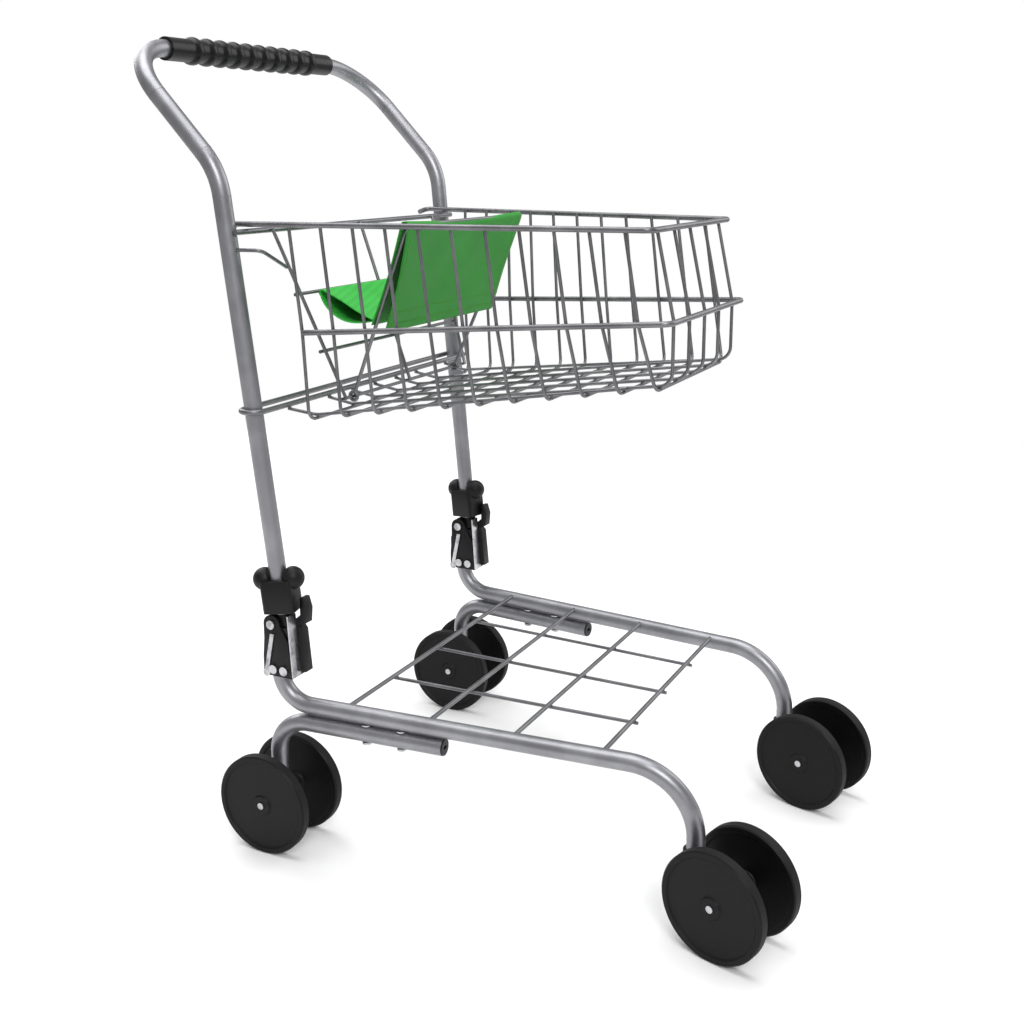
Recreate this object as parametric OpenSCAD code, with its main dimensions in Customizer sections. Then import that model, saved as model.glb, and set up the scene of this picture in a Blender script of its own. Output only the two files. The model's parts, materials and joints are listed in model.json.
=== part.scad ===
// Folding doll's shopping trolley: bent tube frame, wire basket, child seat and twin wheels.
// Front is -Y, up is +Z, and the trolley's right-hand side is -X.
// "Forward" distances are measured from the rear axle towards the front.

/* [Tube] */
// Outer diameter of the frame tube
tube_d = 12.7; // [10:0.1:16]
// Wall thickness of the frame tube
tube_wall = 1.2; // [0.8:0.1:2]

/* [Lower frame] */
// Height of the lower frame's tube axis above the floor
deck_z = 112; // [95:1:140]
// Distance between the tube axes at the rear axle
rear_track = 276; // [220:1:340]
// Distance between the tube axes at the front stems
front_track = 219; // [180:1:280]
// Distance from the rear axle forward to the front stems
wheelbase = 317; // [280:1:400]
// Bend radius where the deck tube turns up into the lock
lock_bend_r = 25; // [20:1:26]
// Bend radius where the deck tube turns down into the stem
stem_bend_r = 47; // [30:1:50]
// Height of the stem's open end
stem_end_z = 50; // [46:1:54]

/* [Upper frame] */
// Height of the fold pivot
pivot_z = 174.6; // [165:0.1:190]
// Fold pivot, forward of the rear axle
pivot_f = 4; // [0:0.5:8]
// Tube axis at pivot height, forward of the rear axle
tube_f = 10.3; // [8:0.1:14]
// Rearward lean of the upright tubes in degrees
lean = 6; // [3:0.5:8]
// Height of the knee where the tubes turn back
knee_z = 496; // [430:1:600]
// Distance between the tube axes at the knee
knee_track = 292; // [230:1:350]
// Rise from the knee to the push bar's axis
bar_rise = 86; // [60:1:120]
// Slant of the tubes above the knee, in degrees from upright
slant = 43.8; // [35:0.1:55]
// Bend radius at the knee
knee_bend_r = 50; // [30:1:60]
// Bend radius at the push bar's corners
corner_bend_r = 48; // [30:1:55]

/* [Grip] */
// Length of the grip
grip_len = 198; // [150:1:220]
// Number of rounded beads
grip_beads = 10; // [6:1:12]
// Distance from bead to bead
bead_pitch = 15.6; // [12:0.1:17]
// Largest diameter of a bead
bead_d = 20.6; // [19:0.1:24]
// Diameter of the plain ends and of the valleys
sleeve_d = 17; // [15.5:0.1:18.5]

/* [Wheels] */
// Wheel diameter
wheel_d = 76; // [64:1:84]
// Thickness of one wheel disc
disc_t = 8.2; // [5:0.1:9]
// Width over the two discs of a twin wheel
twin_w = 50; // [46:1:60]
// Axle diameter
axle_d = 5; // [4:0.1:6]
// Running clearance on radius for turning and sliding fits
run_gap = 0.08; // [0.03:0.01:0.1]
// Distance from the caster's swivel axis to its axle
caster_lead = 28; // [22:1:34]
// Rest angle of the casters about their stems in degrees
caster_turn = -15; // [-40:1:40]
// Diameter of the caster's swivel pin
swivel_pin_d = 6; // [5:0.1:7]
// Outer diameter of the caster's collar
collar_d = 17; // [15.5:0.1:20]

/* [Rear legs] */
// Length of a leg tube forward of the rear axle
leg_len = 135; // [115:1:160]
// Clear gap between leg tube and deck tube
leg_gap = 1; // [0.5:0.1:3]
// Bend radius of the leg
leg_bend_r = 26; // [20:1:34]
// Rear leg screw, forward of the rear axle
leg_screw_f = 74; // [66:1:80]
// Distance between the two leg screws
leg_screw_pitch = 28; // [20:1:32]
// Diameter of the leg screws
leg_screw_d = 4; // [3:0.1:5]

/* [Deck rack] */
// Diameter of the rack's cross wires
rack_cross_d = 3.3; // [2.5:0.1:4]
// Diameter of the rack's lengthwise wires
rack_long_d = 2.6; // [2:0.1:3.5]
// First cross wire, forward of the rear axle
rack_first_f = 58.7; // [55:0.1:62]
// Distance between cross wires
rack_pitch = 64.3; // [50:0.1:66]
// Height of the cross wires above the tube axis
rack_lift = 3.6; // [0:0.1:4]

/* [Fold lock] */
// Radius of the boss around the pivot
boss_r = 7; // [6:0.1:7.5]
// Thickness of a side plate
plate_t = 2.5; // [2:0.1:3]
// Height of the lower edge of the plates
plate_low_z = 135; // [132:1:138]
// Width of the plates at the bottom
plate_w = 25; // [22:1:28]
// Diameter of the pivot bolt and of the lock screws
lock_bolt_d = 4; // [3:0.1:5]
// Height of the lock sleeve's body
sleeve_h = 24; // [20:1:30]
// Depth of the lock sleeve from front to back
sleeve_depth = 24; // [22:0.5:26]
// Width of the lock sleeve
sleeve_w = 20; // [18:0.5:21]
// Radius of the sleeve's finger lobes
lobe_r = 8.5; // [7:0.5:9]
// Travel of the lock sleeve up the tube
sleeve_travel = 14; // [8:1:20]

/* [Basket] */
// Diameter of the rims and rods
rim_d = 4; // [3:0.1:5]
// Diameter of the mesh wires
mesh_d = 2.4; // [1.8:0.1:3]
// Height of the top rim
rim_z = 460; // [420:1:480]
// Front of the top rim, forward of the rear axle
rim_front_f = 266; // [240:1:300]
// Width of the top rim at the front
rim_front_w = 158; // [130:1:190]
// Front of the middle rim, forward of the rear axle
waist_front_f = 279; // [250:1:310]
// Height of the middle rim at the front
waist_front_z = 401; // [380:1:415]
// Width of the middle rim at the front
waist_front_w = 156; // [130:1:190]
// Rear end of the middle rim, forward of the rear axle
waist_rear_f = 23; // [15:1:30]
// Height of the middle rim at the rear
waist_rear_z = 385; // [370:1:395]
// Width of the middle rim at the rear
waist_rear_w = 240; // [200:1:262]
// Height of the basket floor at the front
floor_front_z = 355; // [345:1:372]
// Height of the basket floor at the rear
floor_rear_z = 322; // [318:1:340]
// Width of the floor at the front
floor_front_w = 140; // [120:1:160]
// Width of the floor at the rear
floor_rear_w = 234; // [200:1:250]
// Number of U-shaped side wires
side_wires = 11; // [7:1:13]
// First side wire at the top rim, forward of the rear axle
side_first_f = 17; // [12:1:24]
// Distance between side wires at the top rim
side_pitch = 23; // [18:0.1:24]
// Number of floor wires that turn up into the front
front_wires = 5; // [3:2:7]
// Distance between the front wires
front_pitch = 31.3; // [20:0.1:34]
// Height of the wire loop that ties the floor to the tubes
loop_z = 331; // [326:1:345]

/* [Rear gate] */
// Height of the rod that carries the gate
gate_rod_z = 455; // [440:1:470]
// Distance between the side uprights at the top
gate_top_w = 220; // [180:1:240]
// Distance between the side uprights at the bottom
gate_low_w = 176; // [160:1:210]
// Foot of the gate, forward of the rear axle
gate_low_f = 35; // [30:1:44]
// Height of the gate's bottom wire
gate_low_z = 334; // [330:1:345]
// Diameter of the gate wires
gate_d = 2.6; // [2:0.1:3.2]

/* [Child seat] */
// Diameter of the seat frame's wire
seat_d = 2.8; // [2.2:0.1:3.4]
// Width of the seat frame at the foot
seat_low_w = 149; // [120:1:165]
// Width of the seat frame at the top
seat_top_w = 165; // [140:1:180]
// Top of the backrest, forward of the rear axle
seat_top_f = 87; // [75:1:95]
// Height of the backrest's top wire
seat_top_z = 459; // [440:1:470]
// Height of the backrest cover's lower hem
hem_z = 388; // [375:1:400]
// Thickness of the cloth
cloth_t = 0.9; // [0.5:0.1:1.5]

/* [Hidden] */
$fn = 40;
wire_fn = 20;
weld_gap = 0.03;
joint_gap = 0.01;
joint_share = 1.02;
joint_h = 0.5;
tube_r = tube_d / 2;
bore_r = tube_r - tube_wall;
rim_r = rim_d / 2;
mesh_r = mesh_d / 2;
gate_r = gate_d / 2;
seat_r = seat_d / 2;
wheel_r = wheel_d / 2;
axle_z = wheel_r;
right = -1;
left = 1;

// ---- Lines that the parts share ------------------------------------------------------------
bar_r = max(bead_d, sleeve_d) / 2;
bar_z = knee_z + bar_rise;
bar_f = lean_f(knee_z) - bar_rise * tan(slant);
front_reach = wheelbase + (caster_lead + wheel_r) * cos(caster_turn) + twin_w / 2 * sin(abs(caster_turn));
rear_reach = max(bar_r - bar_f, wheel_r);
axle_y = (front_reach - rear_reach) / 2;

// Position from forward distance and height
function at(x, f, z) = [x, axle_y - f, z];
function unit(v) = v / norm(v);
function mix(a, b, t) = a + (b - a) * t;
// Forward place of the leaning tube axis at a height
function lean_f(z) = tube_f - tan(lean) * (z - pivot_z);
// Half spacing of the upright tubes at a height
function upright_half(z) = mix(rear_track, knee_track, (z - pivot_z) / (knee_z - pivot_z)) / 2;
// Half spacing of the deck tubes at a forward distance
function deck_half(f) = mix(rear_track, front_track, f / wheelbase) / 2;
function upright(side, z) = at(side * upright_half(z), lean_f(z), z);
function upright_dir(side) = unit(upright(side, knee_z) - upright(side, pivot_z));

// ---- Bent bars -----------------------------------------------------------------------------
function turn(p, i) = acos(unit(p[i] - p[i - 1]) * unit(p[i + 1] - p[i]));
function setback(p, radii, i) =
    i == 0 || i == len(p) - 1 ? 0 : radii[i - 1] * tan(turn(p, i) / 2);

module placed(origin, x, y, z) {
    multmatrix([[x[0], y[0], z[0], origin[0]],
                [x[1], y[1], z[1], origin[1]],
                [x[2], y[2], z[2], origin[2]],
                [0, 0, 0, 1]])
        children();
}

// Puts +Z along a direction
module along(origin, dir) {
    d = unit(dir);
    side = abs(d[2]) > 0.99 ? [1, 0, 0] : unit(cross([0, 0, 1], d));
    x = unit(side - (side * d) * d);
    placed(origin, x, cross(d, x), d) children();
}

module rod(a, b, r) {
    along(a, b - a) cylinder(h = norm(b - a), r = r);
}

module elbow(before, corner, after, bend, r) {
    d1 = unit(corner - before);
    d2 = unit(after - corner);
    n = unit(d2 - (d1 * d2) * d1);
    angle = acos(d1 * d2);
    trim = joint_gap / bend * 180 / PI;
    placed(corner - bend * tan(angle / 2) * d1 + bend * n, -n, d1, cross(-n, d1))
        rotate([0, 0, trim]) rotate_extrude(angle = angle - 2 * trim)
            translate([bend, 0]) circle(r);
}

// Ball that closes the joint between two lengths of a bar
module joint_ball(p, r) {
    translate(p) sphere(r * joint_share);
}

// Collar that closes the joint between a straight length and an elbow
module joint_collar(p, d, r) {
    along(p - unit(d) * joint_h / 2, d) cylinder(h = joint_h, r = r * joint_share);
}

module bar(p, radii, r) {
    last = len(p) - 1;
    for (i = [0 : last - 1]) {
        d = unit(p[i + 1] - p[i]);
        from = i == 0 ? 0 : setback(p, radii, i) + joint_gap;
        to = i == last - 1 ? 0 : setback(p, radii, i + 1) + joint_gap;
        rod(p[i] + d * from, p[i + 1] - d * to, r);
    }
    for (i = [1 : 1 : last - 1]) {
        back = setback(p, radii, i);
        if (radii[i - 1] == 0) joint_ball(p[i], r);
        else {
            joint_collar(p[i] - back * unit(p[i] - p[i - 1]), p[i] - p[i - 1], r);
            joint_collar(p[i] + back * unit(p[i + 1] - p[i]), p[i + 1] - p[i], r);
            elbow(p[i - 1], p[i], p[i + 1], radii[i - 1], r);
        }
    }
}

function longer(p, extra) = [for (i = [0 : len(p) - 1])
    i == 0 ? p[0] + extra * unit(p[0] - p[1])
    : i == len(p) - 1 ? p[i] + extra * unit(p[i] - p[i - 1]) : p[i]];

module pipe(p, radii) {
    difference() {
        bar(p, radii, tube_r);
        bar(longer(p, 1), radii, bore_r);
    }
}

function mirrored(p) = concat(p, [for (i = [len(p) - 1 : -1 : 0]) [-p[i][0], p[i][1], p[i][2]]]);

module silver() { color([0.66, 0.67, 0.69]) children(); }
module black() { color([0.05, 0.05, 0.05]) children(); }
module green() { color([0.1, 0.65, 0.2]) children(); }

// ---- Upper frame ---------------------------------------------------------------------------
foot_z = pivot_z + boss_r + 1;
handle_path = mirrored([upright(right, foot_z), upright(right, knee_z),
    at(right * knee_track / 2, bar_f, bar_z)]);

module handle_tube() {
    silver() pipe(handle_path, [knee_bend_r, corner_bend_r, corner_bend_r, knee_bend_r]);
}

module handle_grip() {
    bead_r = bead_d / 2;
    bead_from = -(grip_beads - 1) / 2 * bead_pitch;
    black() translate(at(0, bar_f, bar_z)) rotate([0, 90, 0]) difference() {
        union() {
            cylinder(h = grip_len, r = sleeve_d / 2, center = true);
            for (i = [0 : grip_beads - 1])
                translate([0, 0, bead_from + i * bead_pitch]) rotate_extrude()
                    intersection() {
                        translate([bead_r - bead_pitch / 2, 0]) circle(bead_pitch / 2);
                        translate([0, -bead_pitch / 2]) square([bead_r + 1, bead_pitch]);
                    }
        }
        cylinder(h = grip_len + 2, r = tube_r + weld_gap, center = true);
    }
}

// ---- Lower frame ---------------------------------------------------------------------------
stub_z = pivot_z - boss_r - 14;
rack_f = [for (i = [0 : 3]) rack_first_f + i * rack_pitch];
rack_z = deck_z + rack_lift;

function stub(side, z) = at(side * mix(deck_half(pivot_f), upright_half(lock_low_z), (z - deck_z) / (stub_z - deck_z)), pivot_f, z);
function deck_path(side) = [stub(side, stub_z), stub(side, deck_z),
    at(side * deck_half(wheelbase), wheelbase, deck_z), at(side * deck_half(wheelbase), wheelbase, stem_end_z)];

module leg_screw_holes(side, r) {
    for (f = [leg_screw_f, leg_screw_f + leg_screw_pitch])
        translate(at(side * deck_half(f), f, leg_z - tube_r - 2)) cylinder(h = 2 * tube_d + leg_gap, r = r);
}

module deck_tube(side) {
    silver() difference() {
        pipe(deck_path(side), [lock_bend_r, stem_bend_r]);
        for (f = rack_f)
            rod(at(0, f, rack_z), at(side * deck_half(f), f, rack_z), rack_cross_d / 2 + weld_gap);
        leg_screw_holes(side, leg_screw_d / 2 + weld_gap);
        translate(lock_screw(side, 1)) rotate([0, 90, 0])
            cylinder(h = 2 * tube_d, r = lock_bolt_d / 2 + weld_gap, center = true);
    }
}

module rack_cross_wires() {
    silver() for (f = rack_f) {
        reach = deck_half(f) - bore_r + 1;
        rod(at(-reach, f, rack_z), at(reach, f, rack_z), rack_cross_d / 2, $fn = wire_fn);
    }
}

module rack_long_wires() {
    z = rack_z - (rack_cross_d + rack_long_d) / 2 - weld_gap;
    over = 3;
    silver() for (share = [-0.5, 0, 0.5])
        rod(at(share * deck_half(rack_f[0]), rack_f[0] - over, z),
            at(share * deck_half(rack_f[3]), rack_f[3] + over, z), rack_long_d / 2, $fn = wire_fn);
}

// ---- Rear legs -----------------------------------------------------------------------------
leg_z = deck_z - tube_d - leg_gap;
leg_foot_z = axle_z - tube_r - 1;

module leg_tube(side) {
    silver() difference() {
        pipe([at(side * deck_half(leg_len), leg_len, leg_z), at(side * deck_half(0), 0, leg_z),
            at(side * deck_half(0), 0, leg_foot_z)], [leg_bend_r]);
        leg_screw_holes(side, leg_screw_d / 2 + weld_gap);
        translate(at(side * deck_half(0), 0, axle_z)) rotate([0, 90, 0])
            cylinder(h = 2 * tube_d, r = axle_d / 2 + run_gap, center = true);
    }
}

// Ribbed plug in the front end of each leg tube, with an oval hole through its face
module leg_end_plugs() {
    plug_l = 12;
    flange_t = 1;
    hole_r = 1.2;
    black() for (side = [right, left]) {
        tip = at(side * deck_half(leg_len), leg_len, leg_z);
        along(tip, tip - at(side * deck_half(0), 0, leg_z)) difference() {
            union() {
                cylinder(h = flange_t, r = tube_r - 0.4);
                translate([0, 0, -plug_l]) cylinder(h = plug_l, r = bore_r - weld_gap);
            }
            for (dx = [-hole_r, hole_r])
                translate([dx, 0, -plug_l - 1]) cylinder(h = plug_l + flange_t + 2, r = hole_r);
            translate([-hole_r, -hole_r, -plug_l - 1]) cube([2 * hole_r, 2 * hole_r, plug_l + flange_t + 2]);
        }
    }
}

module leg_screws() {
    head_h = 1.4;
    low_z = leg_z - tube_r - 0.1;
    silver() for (side = [right, left], f = [leg_screw_f, leg_screw_f + leg_screw_pitch])
        translate(at(side * deck_half(f), f, low_z)) {
            cylinder(h = tube_d + leg_gap + tube_wall + 2.2, r = leg_screw_d / 2);
            translate([0, 0, -head_h]) cylinder(h = head_h, r = leg_screw_d * 0.85);
        }
}

// Saddle washer on each screw, which fills the gap between leg and deck tube
module leg_spacers() {
    silver() for (side = [right, left], f = [leg_screw_f, leg_screw_f + leg_screw_pitch])
        translate(at(side * deck_half(f), f, leg_z + tube_r + weld_gap)) difference() {
            cylinder(h = leg_gap - 2 * weld_gap, r = leg_screw_d);
            translate([0, 0, -1]) cylinder(h = leg_gap + 2, r = leg_screw_d / 2 + weld_gap);
        }
}

// ---- Fold lock -----------------------------------------------------------------------------
plate_in = tube_r + 0.25;
plate_out = plate_in + plate_t;
lock_low_z = plate_low_z + 5.5;
// The front rib reaches from here to the left face, and the steel strap is beside it
rib_in = 0.6;
plug_l = 16;
screw_gap = 0.9;

// The two screws through the plates: one in front of the tube, one through it
function lock_screw(side, i) =
    at(side * upright_half(lock_low_z), lean_f(lock_low_z) - i * (tube_r + lock_bolt_d / 2 + screw_gap), lock_low_z);
function pivot(side) = at(side * upright_half(lock_low_z), pivot_f, pivot_z);

// Solid knuckle on the pivot bolt, with a spigot that plugs into the upright tube
module hinge_knuckle(side) {
    d = upright_dir(side);
    foot = upright(side, foot_z);
    barrel_w = 2 * plate_in - 0.9;
    black() difference() {
        union() {
            translate(pivot(side)) rotate([0, 90, 0])
                cylinder(h = barrel_w, r = boss_r, center = true);
            rod(foot - 2 * d, foot + plug_l * d, bore_r - weld_gap);
            intersection() {
                rod(foot - 12 * d, foot - weld_gap * d, tube_r - 0.2);
                translate(pivot(side) + [-barrel_w / 2, -tube_d - boss_r, -1])
                    cube([barrel_w, 2 * tube_d + boss_r, 20]);
            }
        }
        translate(pivot(side)) rotate([0, 90, 0])
            cylinder(h = 2 * tube_d, r = lock_bolt_d / 2 + run_gap, center = true);
    }
}

// Outline of a plate in the side view: x is forward, y is up
module plate_outline() {
    low_f = lean_f(lock_low_z) + tube_r + 0.4;
    translate([pivot_f, pivot_z]) circle(boss_r);
    polygon([[low_f, plate_low_z], [low_f - plate_w, plate_low_z], [low_f - plate_w, plate_low_z + 14],
        [pivot_f - boss_r, pivot_z - boss_r - 4], [pivot_f - boss_r, pivot_z], [pivot_f + boss_r, pivot_z],
        [lean_f(pivot_z - 12) + tube_r, pivot_z - 12]]);
}

// Wing behind the plate on the left face, low enough to clear the folded sleeve
module wing_outline() {
    wing_w = 8.5;
    overlap = 3;
    corner = 4;
    low_z = plate_low_z + 10;
    top_z = pivot_z - sleeve_depth / 2 - 1.5;
    rear_f = lean_f(lock_low_z) + tube_r + 0.4 - plate_w - wing_w;
    translate([rear_f, low_z]) square([wing_w + overlap, top_z - low_z - corner]);
    translate([rear_f + corner, low_z]) square([wing_w + overlap - corner, top_z - low_z]);
    translate([rear_f + corner, top_z - corner]) circle(corner);
}

// Rib along the front edge, with a notch at the pivot and a lug in front of the sleeve
module rib_outline() {
    function front(z) = lean_f(z) + tube_r + 0.4;
    low_z = plate_low_z + 3;
    top_z = pivot_z + 20;
    sleeve_f = front(top_z - 12) - tube_r + sleeve_depth / 2;
    polygon([[front(low_z) - 1.5, low_z], [front(low_z) + 5, low_z],
        [front(pivot_z) + 6, pivot_z - 5], [front(pivot_z) + 3.5, pivot_z - 2],
        [sleeve_f + 5, pivot_z + 1], [sleeve_f + 6, pivot_z + 12], [sleeve_f + 3.5, top_z],
        [sleeve_f + 0.8, top_z], [sleeve_f + 0.8, pivot_z + 7], [front(pivot_z) + 0.6, pivot_z + 3],
        [front(pivot_z) + 0.6, pivot_z - 10], [front(pivot_z - 12) - 1.5, pivot_z - 13]]);
}

// Turns an outline of forward and up into a slab whose mid plane is at x
module side_slab(x, t) {
    translate([x - t / 2, axle_y, 0]) rotate([90, 0, 90]) linear_extrude(t)
        mirror([1, 0]) children();
}

module lock_plates(side) {
    x0 = side * upright_half(lock_low_z);
    black() difference() {
        union() {
            for (face = [-1, 1])
                side_slab(x0 + face * (plate_in + plate_t / 2), plate_t) plate_outline();
            side_slab(x0 + plate_in + plate_t / 2, plate_t) wing_outline();
            side_slab(x0 + (rib_in + plate_out) / 2, plate_out - rib_in) rib_outline();
            side_slab(x0, 2 * plate_in + 0.02) intersection() {
                plate_outline();
                translate([pivot_f - 30, plate_low_z]) square([60, stub_z - plate_low_z]);
            }
        }
        rod(stub(side, plate_low_z - 10), stub(side, stub_z + 1), tube_r + weld_gap);
        translate(pivot(side)) rotate([0, 90, 0])
            cylinder(h = 3 * tube_d, r = lock_bolt_d / 2 + run_gap, center = true);
        for (i = [0, 1])
            translate(lock_screw(side, i)) rotate([0, 90, 0])
                cylinder(h = 3 * tube_d, r = lock_bolt_d / 2 + weld_gap, center = true);
    }
}

module bolt(side, centre) {
    grip = 2 * plate_out + 0.1;
    head_h = 1.6;
    silver() translate(centre) rotate([0, 90, 0]) {
        cylinder(h = grip, r = lock_bolt_d / 2, center = true);
        for (end = [-1, 1])
            translate([0, 0, end * (grip / 2 + head_h / 2)]) cylinder(h = head_h, r = lock_bolt_d * 0.85, center = true);
    }
}

module pivot_bolt(side) {
    bolt(side, pivot(side));
}

module lock_screws(side) {
    for (i = [0, 1])
        bolt(side, lock_screw(side, i));
}

// Steel strap up the front of the lock, which stops the upright tube against forward push
module lock_strap(side) {
    strap_t = 1;
    strap_w = plate_out + rib_in - 0.1;
    x0 = side * upright_half(lock_low_z) - plate_out + strap_w / 2;
    low_f = lean_f(lock_low_z) + tube_r + 0.5;
    top_f = lean_f(pivot_z) + tube_r + 0.7;
    silver() side_slab(x0, strap_w)
        polygon([[low_f, plate_low_z + 1], [low_f + strap_t, plate_low_z + 1],
            [top_f + strap_t + 0.4, pivot_z + boss_r + 1], [top_f + 0.4, pivot_z + boss_r + 1]]);
}

// Bent flat spring on the outer face, from under the boss down the rear edge
module lock_spring(side) {
    spring_w = 3.4;
    spring_t = 0.8;
    foot_f = lean_f(lock_low_z) + tube_r - plate_w + 1.5;
    x0 = side * upright_half(lock_low_z) - (plate_out + spring_t / 2 + 0.05);
    silver() side_slab(x0, spring_t) {
        polygon([[foot_f, plate_low_z + 3], [foot_f + spring_w, plate_low_z + 3],
            [pivot_f - 1 + spring_w, pivot_z - boss_r], [pivot_f - 1, pivot_z - boss_r]]);
        translate([foot_f + spring_w / 2, plate_low_z + 2]) circle(3);
    }
}

// Sliding sleeve that drops over the hinge, with a pair of finger lobes
sleeve_low = boss_r + 1.6;

module lock_sleeve(side) {
    d = upright_dir(side);
    base = upright(side, pivot_z + sleeve_low + 1);
    corner = 3;
    black() along(base, d) rotate([0, 0, sleeve_spin(side)]) difference() {
        union() {
            linear_extrude(sleeve_h) rounded_box(sleeve_w, sleeve_depth, corner);
            for (end = [-1, 1])
                translate([0, end * (sleeve_depth / 2 - 1), sleeve_h]) sphere(lobe_r);
        }
        translate([0, 0, -1]) cylinder(h = sleeve_h + lobe_r + 2, r = tube_r + run_gap);
        translate([0, 0, sleeve_h]) cylinder(h = lobe_r + 2, r = tube_r + 2);
    }
}

// Angle that squares the sleeve up with the trolley's sides
function sleeve_spin(side) = -atan2(side * (knee_track - rear_track) / 2, (lean_f(pivot_z) - lean_f(knee_z)));

module rounded_box(w, d, r) {
    for (x = [-1, 1], y = [-1, 1])
        translate([x * (w / 2 - r), y * (d / 2 - r)]) circle(r);
    square([w - 2 * r, d], center = true);
    square([w, d - 2 * r], center = true);
}

// ---- Wheels --------------------------------------------------------------------------------
hub_r = 7;

// One disc about the X axis, with its outer face towards +X at x = 0
module wheel_disc() {
    dish = 1;
    rim_w = 4;
    edge = 1;
    rotate([0, 90, 0]) rotate_extrude(convexity = 4) polygon([
        [axle_d / 2 + weld_gap, -disc_t], [hub_r, -disc_t], [hub_r + 1, dish - disc_t],
        [wheel_r - rim_w - 1, dish - disc_t], [wheel_r - rim_w, -disc_t], [wheel_r - edge, -disc_t],
        [wheel_r, edge - disc_t], [wheel_r, -edge], [wheel_r - edge, 0], [wheel_r - rim_w, 0],
        [wheel_r - rim_w - 1, -dish], [hub_r + 1, -dish], [hub_r, 0], [axle_d / 2 + weld_gap, 0]]);
}

module twin_wheel() {
    black() for (face = [-1, 1])
        mirror([face < 0 ? 1 : 0, 0, 0]) translate([twin_w / 2, 0, 0]) wheel_disc();
}

module axle() {
    proud = 0.8;
    silver() rotate([0, 90, 0]) cylinder(h = twin_w + 2 * proud, r = axle_d / 2, center = true);
}

module rear_wheel_place(side) {
    translate(at(side * deck_half(0), 0, axle_z)) children();
}

module caster_place(side) {
    translate(at(side * deck_half(wheelbase), wheelbase, 0)) rotate([0, 0, caster_turn]) children();
}

module caster_axle_place(side) {
    caster_place(side) translate([0, -caster_lead, axle_z]) children();
}

// Nylon bush pressed into the stem, which guides the swivel pin
bush_h = 14;

module stem_bush(side) {
    black() caster_place(side) translate([0, 0, stem_end_z]) difference() {
        cylinder(h = bush_h, r = bore_r - weld_gap);
        translate([0, 0, -1]) cylinder(h = bush_h + 2, r = swivel_pin_d / 2 + run_gap);
    }
}

module swivel_pin(side) {
    silver() caster_place(side) translate([0, 0, stem_end_z - 8])
        cylinder(h = bush_h + 8 + 3, r = swivel_pin_d / 2);
}

// Fork: a collar round the stem's end, an arm and a barrel for the axle
module caster_fork(side) {
    barrel_r = axle_d / 2 + 4;
    barrel_w = twin_w - 2 * disc_t - 2;
    arm_w = 9;
    collar_low = stem_end_z - 10;
    collar_h = 18;
    black() caster_place(side) difference() {
        union() {
            translate([0, 0, collar_low]) cylinder(h = collar_h, r = collar_d / 2);
            translate([0, -caster_lead, axle_z]) rotate([0, 90, 0])
                cylinder(h = barrel_w, r = barrel_r, center = true);
            translate([-arm_w / 2, -caster_lead, axle_z - 4]) cube([arm_w, caster_lead, stem_end_z - axle_z + 2]);
        }
        translate([0, 0, stem_end_z - 0.2]) cylinder(h = collar_h, r = tube_r + run_gap);
        translate([0, 0, stem_end_z - 8]) cylinder(h = 20, r = swivel_pin_d / 2 + weld_gap);
        translate([0, -caster_lead, axle_z]) rotate([0, 90, 0])
            cylinder(h = barrel_w + 2, r = axle_d / 2 + run_gap, center = true);
    }
}

// ---- Basket --------------------------------------------------------------------------------
rim_slant = 1.03;
in_rim = (rim_r + mesh_r + weld_gap) * rim_slant;
rim_rear_f = lean_f(rim_z);
rim_end_f = rim_rear_f - 9;
rim_rear_half = upright_half(rim_z) - tube_r - rim_r - 0.1;

function rim_half(f) = mix(rim_rear_half, rim_front_w / 2, (f - rim_end_f) / (rim_front_f - rim_end_f));
function waist_share(f) = (f - waist_rear_f) / (waist_front_f - waist_rear_f);
function waist_half(f) = mix(waist_rear_w, waist_front_w, waist_share(f)) / 2;
function waist_z(f) = mix(waist_rear_z, waist_front_z, waist_share(f));
function floor_share(f) = (f - floor_first_f) / (floor_last_f - floor_first_f);
function floor_half(f) = mix(floor_rear_w, floor_front_w, floor_share(f)) / 2;
function floor_z(f) = mix(floor_rear_z, floor_front_z, floor_share(f));
floor_first_f = side_first_f + 6;
floor_last_f = waist_front_f - 12;
floor_pitch = (floor_last_f - floor_first_f) / (side_wires - 1);
waist_pitch = (side_pitch + floor_pitch) / 2;
long_lift = mesh_d + weld_gap;
loop_r = tube_r + rim_r + 0.15;
// The lengthwise wires start under the front run of the wire loop
long_start_f = lean_f(loop_z) + loop_r - 1;
long_start_z = loop_z - rim_r - mesh_r - weld_gap;

module basket_top_rim() {
    silver() bar(mirrored([at(right * (rim_rear_half - 12), rim_end_f, rim_z - 2),
        at(right * rim_rear_half, rim_end_f, rim_z),
        at(right * rim_front_w / 2, rim_front_f, rim_z)]), [4, 7, 7, 4], rim_r, $fn = wire_fn);
}

module basket_waist_rim() {
    silver() bar(mirrored([at(right * waist_half(waist_rear_f), waist_rear_f, waist_rear_z),
        at(right * waist_front_w / 2, waist_front_f, waist_front_z)]), [7, 7], rim_r, $fn = wire_fn);
}

// One U-shaped side wire, from the top rim down to the floor and across to the middle.
// Its upright run and its floor run are drawn apart, and meet where the floor bend ends.
floor_bend_r = 8;

function side_wire_path(side, i) = let(
    top_f = side_first_f + i * side_pitch,
    mid_f = side_first_f + 3 + i * waist_pitch,
    low_f = floor_first_f + i * floor_pitch)
    [at(side * (rim_half(top_f) - in_rim), top_f, rim_z + 0.5),
     at(side * (waist_half(mid_f) - in_rim), mid_f, waist_z(mid_f)),
     at(side * floor_half(low_f), low_f, floor_z(low_f)),
     at(0, low_f, floor_z(low_f))];

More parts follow.
